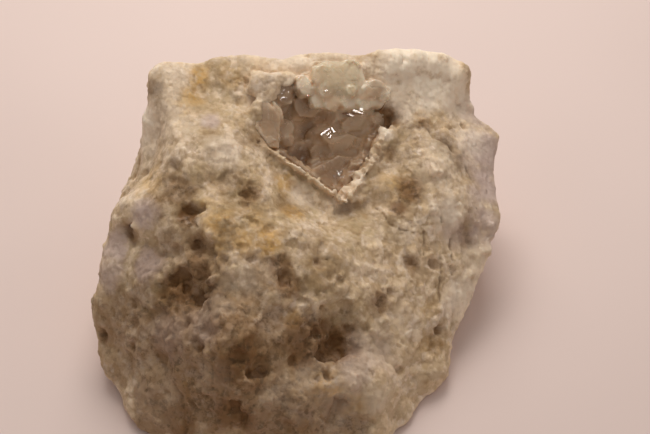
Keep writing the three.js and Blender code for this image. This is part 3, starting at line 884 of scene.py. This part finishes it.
def rock_form(seen):
    """The rock as a field: its CAD form, softened, closed around the crust and given its
    grains, pits and walls."""
    seen_crust = Seen(*mesh_arrays(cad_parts["crystal_crust"]))
    sharp = field_of(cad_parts["rock"], ROCK_VOXEL)
    soft = blurred(sharp, 0.65)
    thin = blurred(sharp, 0.25)
    flat = blurred(sharp, 1.2)
    band = np.abs(sharp.values) < BAND * ROCK_VOXEL * 0.95
    places = sharp.places(band)
    crisp = near_mouth(places, 13.5, 3.5)
    calm = stain_mask(places, SMOOTH, seen) * (1 - crisp)
    field = soft.copy()
    # A blurred edge lies further in, so what is blurred is let out a little.
    field.values[band] = (
        (soft.values[band] - 0.15) * (1 - crisp - calm)
        + thin.values[band] * crisp
        + (flat.values[band] - 0.5) * calm
    )
    seat_crust(field, seen_crust)
    add_grain_blocks(field, seen)
    carve_pits(field, seen)
    roughen_walls(field)
    crumble_tip(field, seen)
    add_grains(field, seen)
    floor_heights = (np.arange(field.values.shape[2]) + field.low[2]) * field.voxel
    field.values = np.maximum(field.values, -floor_heights[None, None, :].astype(np.float32))
    return field


def rock_relief(points, seen, inside):
    """The height of the rock's fine relief, and the marks that follow from it."""
    smooth = np.maximum(stain_mask(points, SMOOTH, seen), 0.2 * inside)
    rough = stain_mask(points, ROUGH, seen)
    fine = near_mouth(points, 14.0, 3.0)
    strength = (0.75 + 0.5 * rough) * (1.0 - 0.7 * smooth) * (1.0 - 0.35 * fine)
    coarse, coarse_tint, coarse_crease = grain_relief(points, 4.2, 0.24, 100)
    middle, tint, crease = grain_relief(points, 2.0, 0.2, 200)
    small, small_tint, small_crease = grain_relief(points, 0.9, 0.12, 300)
    swell = 0.3 * layered_noise(points, 6.5, 400)
    ridges = 0.22 * (1.0 - np.abs(noise(points, 2.4, 450))) ** 4
    height = strength * (coarse + middle + swell + ridges) + (0.4 + 0.6 * strength) * small
    upright = points - 0.85 * (points @ VIEW_UP)[:, None] * VIEW_UP
    fibres = noise(upright, 1.1, 470) * stain_mask(points, FIBROUS, seen)
    cracks = crack_mask(points, seen)
    height += 0.2 * fibres - 0.35 * cracks
    height += swelling(points, seen)
    relief = middle + small + 0.6 * coarse + 0.6 * ridges
    return height, {
        "glassy": 0.5 * coarse_tint + 0.5 * tint,
        "tint": 0.6 * tint + 0.4 * small_tint,
        "crease": np.clip(0.5 * crease + 0.3 * small_crease + 0.5 * coarse_crease, 0, 1),
        # Painted highlight where the relief is high, painted shade where it is low.
        "high": smoothstep(relief, 0.05, 0.4),
        "low": smoothstep(-relief, 0.05, 0.4),
        "crack": np.clip(cracks + 0.6 * np.maximum(-fibres, 0), 0, 1),
    }


def make_rock():
    seen = Seen(*mesh_arrays(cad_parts["rock"]))
    field = rock_form(seen)
    start, quads, normals = skin_of(field)
    _, _, out = mouth_coordinates(start)
    inside = near_mouth(start, 11.5, 2.0) * (1.0 - smoothstep(out, -1.6, 0.4))
    height, marks = rock_relief(start, seen, inside)
    points = start + normals * height[:, None]
    points[:, 2] = np.maximum(points[:, 2], 0.0)
    hollowed = -value_at(blurred(field, 1.6), start)
    marks["hollow"] = inside
    # Painted shade in the dents.
    marks["sunken_shade"] = smoothstep(hollowed, 0.05, 0.9)
    # Painted highlight where the surface stands out.
    marks["raised_highlight"] = smoothstep(-hollowed, 0.1, 0.9)
    # Stains; some brown ones are painted shade and some chalky ones painted light.
    stains = {"brown": BROWN_STAIN_AND_SHADE, "ochre": OCHRE, "lilac": LILAC, "olive": OLIVE, "chalk_and_light": CHALK_AND_LIGHT}
    for colour, places in stains.items():
        marks[colour] = stain_mask(start, places, seen)
    rock = make_object("host_rock", points, quads, marks)
    seen_side = smoothstep(normals @ VIEW_BACK, -0.3, 0.3)
    keep = np.clip(0.35 + 0.3 * seen_side + 0.35 * near_mouth(start, 17, 4), 0, 1)
    lightened(rock, ROCK_TRIANGLES, keep)
    rock.data.shade_smooth()
    rock.data.materials.append(rock_material())
    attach(rock, BODY)
    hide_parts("rock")


# ---------------------------------------------------------------- the crystals


def about_out(degrees):
    """The mouth's axes, turned about its way out."""
    c, s = math.cos(math.radians(degrees)), math.sin(math.radians(degrees))
    axes = np.stack([MOUTH_RIGHT, MOUTH_UP, MOUTH_OUT], axis=1)
    return axes @ np.array([[c, -s, 0], [s, c, 0], [0, 0, 1]])


def about_right(degrees):
    """A turn about the mouth's right, in the mouth's axes."""
    c, s = math.cos(math.radians(degrees)), math.sin(math.radians(degrees))
    return np.array([[1, 0, 0], [0, c, -s], [0, s, c]])


def add_crystal(field, place, crystal):
    """A blocky crystal, square to the mouth but for its turn and lean, with its corners trimmed."""
    half = np.array([crystal.width, crystal.height, crystal.thickness]) / 2
    middle = place - MOUTH_OUT * (half[2] - 0.6 * crystal.proud)
    rotation = about_out(crystal.turn) @ about_right(crystal.lean)
    trim = about_out(crystal.turn + 38) @ about_right(crystal.lean + 16)
    add_block(field, middle, half, rotation, crystal.cut * half.min(), 0.6, trim)


def line_right_wall(field):
    """A row of crystals on the inner side of the right wall."""
    random = np.random.default_rng(31)
    for right, up, out in along_line(RIGHT_LINING, 1.4, random):
        half = random.uniform(0.9, 1.6, 3)
        middle = from_mouth(right + 0.3 * random.normal(), up, out - 2.4)
        add_block(field, middle, half, turned(random)[0], 0.4 * half.min(), 0.6)


def near_lining(points):
    """How close each point is to the crystals on the right wall, from 0 to 1."""
    local = np.stack(mouth_coordinates(points), axis=1)
    return near_line(local, np.array(RIGHT_LINING), 1.5, 3.5)


def add_small_crystals(field, green_place):
    """Small crystals all over the lining, and a few on the rim."""
    random = np.random.default_rng(23)
    points, _, normals = skin_of(field)
    right, up, out = mouth_coordinates(points)
    lining = (out < -4.5) & (normals @ MOUTH_OUT > 0.2)
    on_green = np.linalg.norm(points - green_place, axis=1) < GREEN_RADIUS
    rim = (up > 6) & (right > -6) & (normals @ MOUTH_OUT > 0.1) & ~on_green
    weight = lining + 0.5 * rim + 1e-9
    count = 170
    places, outward = random_surface_points(points, normals, count, random, weight)
    for place, way, rotation in zip(places, outward, turned(random, count)):
        half = random.uniform(0.5, 1.5) * random.uniform(0.7, 1.2, 3)
        add_block(field, place - way * half.min() * 0.75, half, rotation, 0.4 * half.min(), 0.4)


def fill_gaps(field, radius, deep, shallow):
    """Fills narrow gaps with the field's blurred form, set back by deep where the hollow is
    deep and by shallow on its rim."""
    band = np.abs(field.values) < BAND * field.voxel * 0.95
    _, _, out = mouth_coordinates(field.places(band))
    depth = np.full(field.values.shape, shallow, np.float32)
    depth[band] = deep + (shallow - deep) * smoothstep(out, -5.0, -2.5)
    field.values = np.minimum(field.values, blurred(field, radius).values + depth)


def crust_form(seen, green_place):
    """The crust as a field: its CAD form, softened, with its small and its named crystals."""
    sharp = field_of(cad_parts["crystal_crust"], CRUST_VOXEL, margin=14)
    part, places = sharp.window(green_place, 9.0)
    away = np.linalg.norm(places - green_place, axis=-1)
    rounder = 1.0 - smoothstep(away, GREEN_RADIUS, GREEN_RADIUS + 3.0)
    field = blurred(sharp, 0.5)
    softest = blurred(sharp, 1.5).values[part] - 0.45
    field.values[part] += rounder * (softest - field.values[part])
    fill_gaps(field, 1.5, 0.0, 0.1)
    add_small_crystals(field, green_place)
    for crystal, place, _ in seen.each(CRYSTALS):
        add_crystal(field, place, crystal)
    line_right_wall(field)
    fill_gaps(field, 1.0, 0.1, 0.5)
    return blurred(field, 0.2)


def make_crystals():
    seen = Seen(*mesh_arrays(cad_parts["crystal_crust"]))
    green_place, _ = seen.place(*GREEN_CRYSTAL)
    field = crust_form(seen, green_place)
    points, quads, normals = skin_of(field)
    right, up, out = mouth_coordinates(points)
    # The rim crystals lie above this plane, which slopes over the hollow's upper edge.
    above = np.minimum(up - 7.4 - 0.12 * right * (right > 4), out + 3.6)
    facets, tint, crease = grain_relief(points, 3.2, 0.14, 600)
    small, _, small_crease = grain_relief(points, 1.1, 0.05, 650)
    hollowed = -value_at(blurred(field, 0.8), points)
    marks = {
        "tint": tint,
        "crease": np.clip(0.7 * crease + 0.4 * small_crease, 0, 1),
        # Painted shade in the dents between the crystals, painted highlight on their edges.
        "sunken_shade": smoothstep(hollowed, 0.0, 0.6),
        "raised_highlight": smoothstep(-hollowed, 0.1, 0.6),
        # The milky rim reaches below the plane, over the rim's shaded underside, where its pale colour
        # is painted light.
        "rim": smoothstep(above, -1.8, 0.2),
        "green": 1.0 - smoothstep(np.linalg.norm(points - green_place, axis=1), 4.0, 7.5),
        "milky": stain_mask(points, CRUST_MILKY, seen),
        "brown": np.maximum(stain_mask(points, CRUST_BROWN, seen), 0.75 * near_lining(points)),
    }
    skin = Seen(points, quads)
    points = points + normals * (facets + small)[:, None]
    crust = make_object("crystal_crust_skin", points, quads, marks)
    lightened(crust, CRUST_TRIANGLES)
    crust.data.shade_smooth()
    dress_crust(crust, crystal_material())
    make_glints(skin)


def all_glints():
    """The named glints, and the tiny ones scattered where the crust sparkles."""
    random = np.random.default_rng(53)
    glints = list(GLINTS)
    for sparkle in SPARKLES:
        for _ in range(sparkle.count):
            x, y = np.array(sparkle[:2]) + 0.5 * sparkle.reach * random.normal(size=2)
            width, depth = random.uniform(0.1, 0.26, 2)
            glints.append(Glint(x, y, width, depth, random.uniform(0, 90)))
    return glints


def glint_corners(glint, place):
    """The corners of a thin box, turned so that it mirrors the small lamp at the camera."""
    facing = unit(unit(LAMP - place) + unit(EYE - place))
    across = unit(np.cross(VIEW_UP, facing))
    turn = math.radians(glint.turn)
    right = math.cos(turn) * across + math.sin(turn) * np.cross(facing, across)
    up = np.cross(facing, right)
    for depth in (-1.2, min(0.6, glint.width)):
        for u, v in ((-1, -1), (1, -1), (1, 1), (-1, 1)):
            corner = right * u * glint.width / 2 + up * v * glint.depth / 2
            yield place + corner + facing * depth


def make_glints(skin):
    """The thin clear crystals."""
    points, faces = [], []
    for glint, place, _ in skin.each(all_glints()):
        faces += [[len(points) + corner for corner in side] for side in BOX_SIDES]
        points += glint_corners(glint, place)
    clear = make_object("clear_crystals", np.array(points), np.array(faces))
    clear.data.shade_flat()
    dress_crust(clear, clear_material())


def dress_crust(obj, material):
    obj.data.materials.append(material)
    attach(obj, BODY)
    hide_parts("crystal_crust")


# ---------------------------------------------------------------- materials


def rgb(red, green, blue):
    """A colour given as it looks on screen, made linear."""
    linear = [((c / 255 + 0.055) / 1.055) ** 2.4 if c > 10 else c / 3294 for c in (red, green, blue)]
    return (*linear, 1.0)


class Nodes:
    """Short ways to add and join a material's shader nodes."""

    def __init__(self, name):
        self.material = bpy.data.materials.new(name)
        self.material.use_nodes = True
        self.tree = self.material.node_tree

    def feed(self, socket, value):
        """Joins an input to another node's output, or gives it a fixed value."""
        if hasattr(value, "links"):
            self.tree.links.new(value, socket)
        else:
            socket.default_value = value

    def feed_shader(self, inputs):
        for name, value in inputs.items():
            self.feed(self.tree.nodes["Principled BSDF"].inputs[name], value)

    def node(self, kind, inputs, **settings):
        made = self.tree.nodes.new(kind)
        for name, value in settings.items():
            setattr(made, name, value)
        for name, value in inputs.items():
            self.feed(made.inputs[name], value)
        return made

    def place(self):
        return self.node("ShaderNodeTexCoord", {}).outputs["Object"]

    def mark(self, name):
        return self.node("ShaderNodeAttribute", {}, attribute_name=name).outputs["Fac"]

    def noise(self, size, detail, roughness=0.6):
        """Noise whose lumps are about size millimetres across, from 0 to 1."""
        inputs = {"Scale": 1 / (size * MM), "Detail": detail, "Roughness": roughness}
        return self.node("ShaderNodeTexNoise", {"Vector": self.place(), **inputs}).outputs["Fac"]

    def facets(self, size):
        """Flat facets about size millimetres across: their tilted relief and a random tint."""
        inputs = {"Vector": self.place(), "Scale": 1 / (size * MM)}
        cells = self.node("ShaderNodeTexVoronoi", inputs)
        way = self.vector("SUBTRACT", self.place(), cells.outputs["Position"])
        tilt = self.vector("SUBTRACT", cells.outputs["Color"], (0.5, 0.5, 0.5))
        relief = self.vector("DOT_PRODUCT", way.outputs["Vector"], tilt.outputs["Vector"])
        height = self.math("DIVIDE", relief.outputs["Value"], size * MM)
        return height, cells.outputs["Color"]

    def ramp(self, value, low, high):
        inputs = {"Value": value, "From Min": low, "From Max": high}
        made = self.node("ShaderNodeMapRange", inputs, interpolation_type="SMOOTHSTEP")
        return made.outputs["Result"]

    def vector(self, operation, a, b):
        return self.node("ShaderNodeVectorMath", {0: a, 1: b}, operation=operation)

    def math(self, operation, a, b, clamp=False):
        made = self.node("ShaderNodeMath", {0: a, 1: b}, operation=operation, use_clamp=clamp)
        return made.outputs[0]

    def mix(self, share, a, b):
        """The colour a, with a share of the colour b."""
        made = self.node("ShaderNodeMix", {}, data_type="RGBA")
        for value, name, kind in ((share, "Factor", "VALUE"), (a, "A", "RGBA"), (b, "B", "RGBA")):
            self.feed(next(s for s in made.inputs if s.name == name and s.type == kind), value)
        return next(s for s in made.outputs if s.type == "RGBA")

    def coat(self, colour, cover, share, paint):
        """The colour, painted over by up to a share where cover is high."""
        return self.mix(self.math("MULTIPLY", cover, share), colour, paint)

    def patchy(self, mark, size, detail, low, high, roughness=0.6):
        """A mark, broken into patches by noise."""
        patches = self.ramp(self.noise(size, detail, roughness), low, high)
        return self.math("MULTIPLY", self.mark(mark), patches)

    def bump(self, height, strength, depth, **below):
        """A bump up to depth millimetres deep, perhaps on top of another bump."""
        inputs = {"Height": height, "Strength": strength, "Distance": depth * MM, **below}
        return self.node("ShaderNodeBump", inputs).outputs["Normal"]


def fresh_rock_colour(n, tint, grit_tint):
    """Cream rock with glassy grains and fine grit, painted highlight on the high places and those that
    stand out, and painted shade in the low ones.
    """
    cream = n.mix(n.ramp(n.noise(6, 3), 0.35, 0.65), rgb(237, 212, 181), rgb(229, 200, 162))
    cream = n.mix(n.ramp(tint, 0.25, 0.8), cream, rgb(240, 218, 194))
    glassy = n.math("ADD", n.mark("glassy"), n.math("MULTIPLY", n.noise(2.2, 4), 1.4))
    colour = n.coat(cream, n.ramp(glassy, 1.0, 1.45), 0.75, rgb(190, 160, 121))
    colour = n.coat(colour, n.ramp(grit_tint, 0.4, 0.8), 0.15, rgb(196, 166, 128))
    specks = n.ramp(n.noise(0.8, 2, 0.7), 0.5, 0.66)
    colour = n.coat(colour, specks, 0.15, rgb(172, 140, 102))
    # Painted highlight on the places that stand out and on the high ones, painted shade in the low
    # ones.
    colour = n.coat(colour, n.mark("raised_highlight"), 0.2, rgb(236, 214, 186))
    colour = n.coat(colour, n.mark("low"), 0.3, rgb(150, 116, 74))
    return n.coat(colour, n.mark("high"), 0.35, rgb(238, 216, 190))


def stained_rock_colour(n, colour):
    """The stains (the brown in places painted shade), darker creases between grains, painted shade in
    the dents, and the chalky places (in places painted light).
    """
    colour = n.mix(n.patchy("olive", 3, 3, 0.25, 0.6), colour, rgb(172, 146, 104))
    colour = n.coat(colour, n.patchy("ochre", 1.8, 4, 0.3, 0.6), 0.85, rgb(212, 166, 92))
    # Brown stain, in some places painted shade.
    blotches = n.math("ADD", n.ramp(n.noise(2.6, 5, 0.7), 0.3, 0.62), 0.7, True)
    brown = n.math("MULTIPLY", n.mark("brown"), blotches, True)
    colour = n.coat(colour, brown, 0.92, rgb(122, 84, 46))
    dark = n.patchy("brown", 1.9, 4, 0.48, 0.64, 0.7)
    colour = n.coat(colour, dark, 0.7, rgb(78, 58, 34))
    colour = n.coat(colour, n.patchy("crease", 4.5, 3, 0.35, 0.7), 0.35, rgb(144, 106, 62))
    # Painted shade in the dents.
    colour = n.coat(colour, n.mark("sunken_shade"), 0.5, rgb(130, 90, 50))
    colour = n.coat(colour, n.patchy("lilac", 4, 3, 0.1, 0.5), 0.9, rgb(204, 180, 168))
    # Chalky grains, on the top right and the left face also painted light.
    colour = n.coat(colour, n.patchy("chalk_and_light", 3, 4, 0.2, 0.5), 0.9, rgb(252, 232, 208))
    colour = n.coat(colour, n.mark("hollow"), 0.8, rgb(160, 118, 78))
    return n.coat(colour, n.mark("crack"), 0.6, rgb(116, 84, 52))


def rock_material():
    n = Nodes("granular_rock")
    tint = n.mark("tint")
    grit, grit_tint = n.facets(0.9)
    colour = stained_rock_colour(n, fresh_rock_colour(n, tint, grit_tint))
    gloss = n.math("MULTIPLY", n.ramp(tint, 0.55, 0.9), 0.35)
    grains = n.bump(grit, 0.4, 0.9)
    n.feed_shader({
        "Base Color": colour,
        "Roughness": n.math("SUBTRACT", 0.75, gloss),
        "Subsurface Weight": 0.35,
        "Subsurface Radius": (1.0, 0.9, 0.8),
        "Subsurface Scale": 1.4 * MM,
        "IOR": 1.5,
        "Specular IOR Level": 0.25,
        "Normal": n.bump(n.noise(0.5, 3, 0.7), 0.25, 0.2, Normal=grains),
    })
    return n.material


def fluorite(name, clear, roughness):
    """Fluorite, from milky to clear; its colour and bump are added by the caller."""
    n = Nodes(name)
    n.feed_shader({
        "Transmission Weight": clear,
        "IOR": 1.434,
        "Subsurface Weight": 0.8,
        "Subsurface Radius": (0.7, 0.85, 1.0),
        "Subsurface Scale": 2.2 * MM,
        "Roughness": roughness,
    })
    absorb = n.node("ShaderNodeVolumeAbsorption", {"Color": rgb(224, 198, 166), "Density": 35})
    n.feed(n.tree.nodes["Material Output"].inputs["Volume"], absorb.outputs["Volume"])
    return n


def crystal_material():
    """Smoky in the hollow, milky on its rim and green in one place, with brown stain, painted shade
    between the crystals and painted highlight on their edges.
    """
    n = fluorite("cloudy_fluorite", 0.2, 0.15)
    tint = n.ramp(n.mark("tint"), 0.2, 0.9)
    smoky = n.mix(tint, rgb(236, 203, 167), rgb(242, 214, 182))
    milky = n.mix(tint, rgb(244, 215, 181), rgb(248, 227, 199))
    # Milky on the rim; on the rim's shaded underside this is painted light.
    colour = n.mix(n.math("MAXIMUM", n.mark("rim"), n.mark("milky")), smoky, milky)
    # Painted shade in the creases and dents between the crystals, kept off the rim, joined with the
    # brown stain.
    creases = n.math("MULTIPLY", n.mark("crease"), 0.15)
    seam_shade = n.math("ADD", creases, n.math("MULTIPLY", n.mark("sunken_shade"), 0.35), True)
    seam_shade = n.math("MULTIPLY", seam_shade, n.ramp(n.noise(2.2, 3), 0.3, 0.65))
    off_rim = n.math("SUBTRACT", 1.0, n.math("MULTIPLY", n.mark("rim"), 0.8))
    seam_shade = n.math("MULTIPLY", seam_shade, off_rim)
    stain = n.math("MAXIMUM", seam_shade, n.math("MULTIPLY", n.mark("brown"), 0.85))
    colour = n.mix(stain, colour, rgb(146, 108, 73))
    # Painted highlight on the crystals' edges.
    colour = n.coat(colour, n.mark("raised_highlight"), 0.4, rgb(240, 216, 190))
    colour = n.coat(colour, n.mark("green"), 0.75, rgb(222, 201, 166))
    cloud = n.math("MULTIPLY", n.ramp(n.noise(1.8, 3), 0.4, 0.7), 0.2)
    wave = n.bump(n.noise(0.8, 3), 0.25, 0.2)
    n.feed_shader({"Base Color": colour, "Roughness": n.math("ADD", 0.12, cloud), "Normal": wave})
    return n.material


def clear_material():
    n = fluorite("clear_fluorite", 0.8, 0.04)
    n.feed_shader({"Base Color": rgb(236, 214, 192)})
    return n.material


def floor_material():
    n = Nodes("pale_floor")
    faint = n.ramp(n.noise(120, 2), 0.3, 0.7)
    colour = n.mix(faint, rgb(228, 206, 197), rgb(224, 202, 193))
    n.feed_shader({"Base Color": colour, "Roughness": 0.7})
    return n.material


# ---------------------------------------------------------------- floor, light and camera


def make_floor():
    reach = 1500.0
    corners = np.array([[-reach, -reach, 0], [reach, -reach, 0], [reach, reach, 0], [-reach, reach, 0]])
    floor = make_object("floor", corners, np.array([[0, 1, 2, 3]]))
    floor.data.materials.append(floor_material())


def add_area(name, place, size, power, colour):
    """A square soft light that looks at the object from a place in millimetres."""
    way = Vector(place - LOOK_AT)
    light = bpy.data.lights.new(name, "AREA")
    light.size = size
    light.energy = power
    light.color = colour
    lamp = add_object(name, light)
    lamp.location = Vector(place * MM)
    lamp.rotation_euler = way.to_track_quat("Z", "Y").to_euler()


def make_room():
    """A pale room, a little lighter at the right."""
    left, right = 0.31, 0.44
    world = bpy.data.worlds.new("soft_room")
    world.use_nodes = True
    nodes, links = world.node_tree.nodes, world.node_tree.links
    background = nodes["Background"]
    background.inputs["Color"].default_value = (1.0, 0.96, 0.93, 1.0)
    parts = nodes.new("ShaderNodeSeparateXYZ")
    links.new(nodes.new("ShaderNodeTexCoord").outputs["Generated"], parts.inputs["Vector"])
    level = nodes.new("ShaderNodeMapRange")
    level.inputs["From Min"].default_value = -1.0
    level.inputs["To Min"].default_value = left
    level.inputs["To Max"].default_value = right
    links.new(parts.outputs["X"], level.inputs["Value"])
    links.new(level.outputs["Result"], background.inputs["Strength"])
    bpy.context.scene.world = world


def make_light():
    """The pale room, a window above and behind, and a small lamp for the glints."""
    make_room()
    add_area("window", WINDOW, 0.26, 1.35, (1.0, 0.97, 0.94))
    add_area("lamp", LAMP, 0.03, 0.08, (1.0, 0.93, 0.86))


def make_camera():
    camera = bpy.data.cameras.new("camera")
    camera.sensor_width = 36
    camera.lens = 18 / math.tan(FIELD_OF_VIEW / 2)
    camera.clip_start = 0.01
    holder = add_object("camera", camera)
    holder.location = Vector(EYE * MM)
    holder.rotation_euler = (math.pi / 2 - CAMERA_RISE, 0, 0)
    bpy.context.scene.camera = holder


make_camera()
make_floor()
make_light()
make_rock()
make_crystals()
bpy.context.scene.view_settings.view_transform = "Standard"
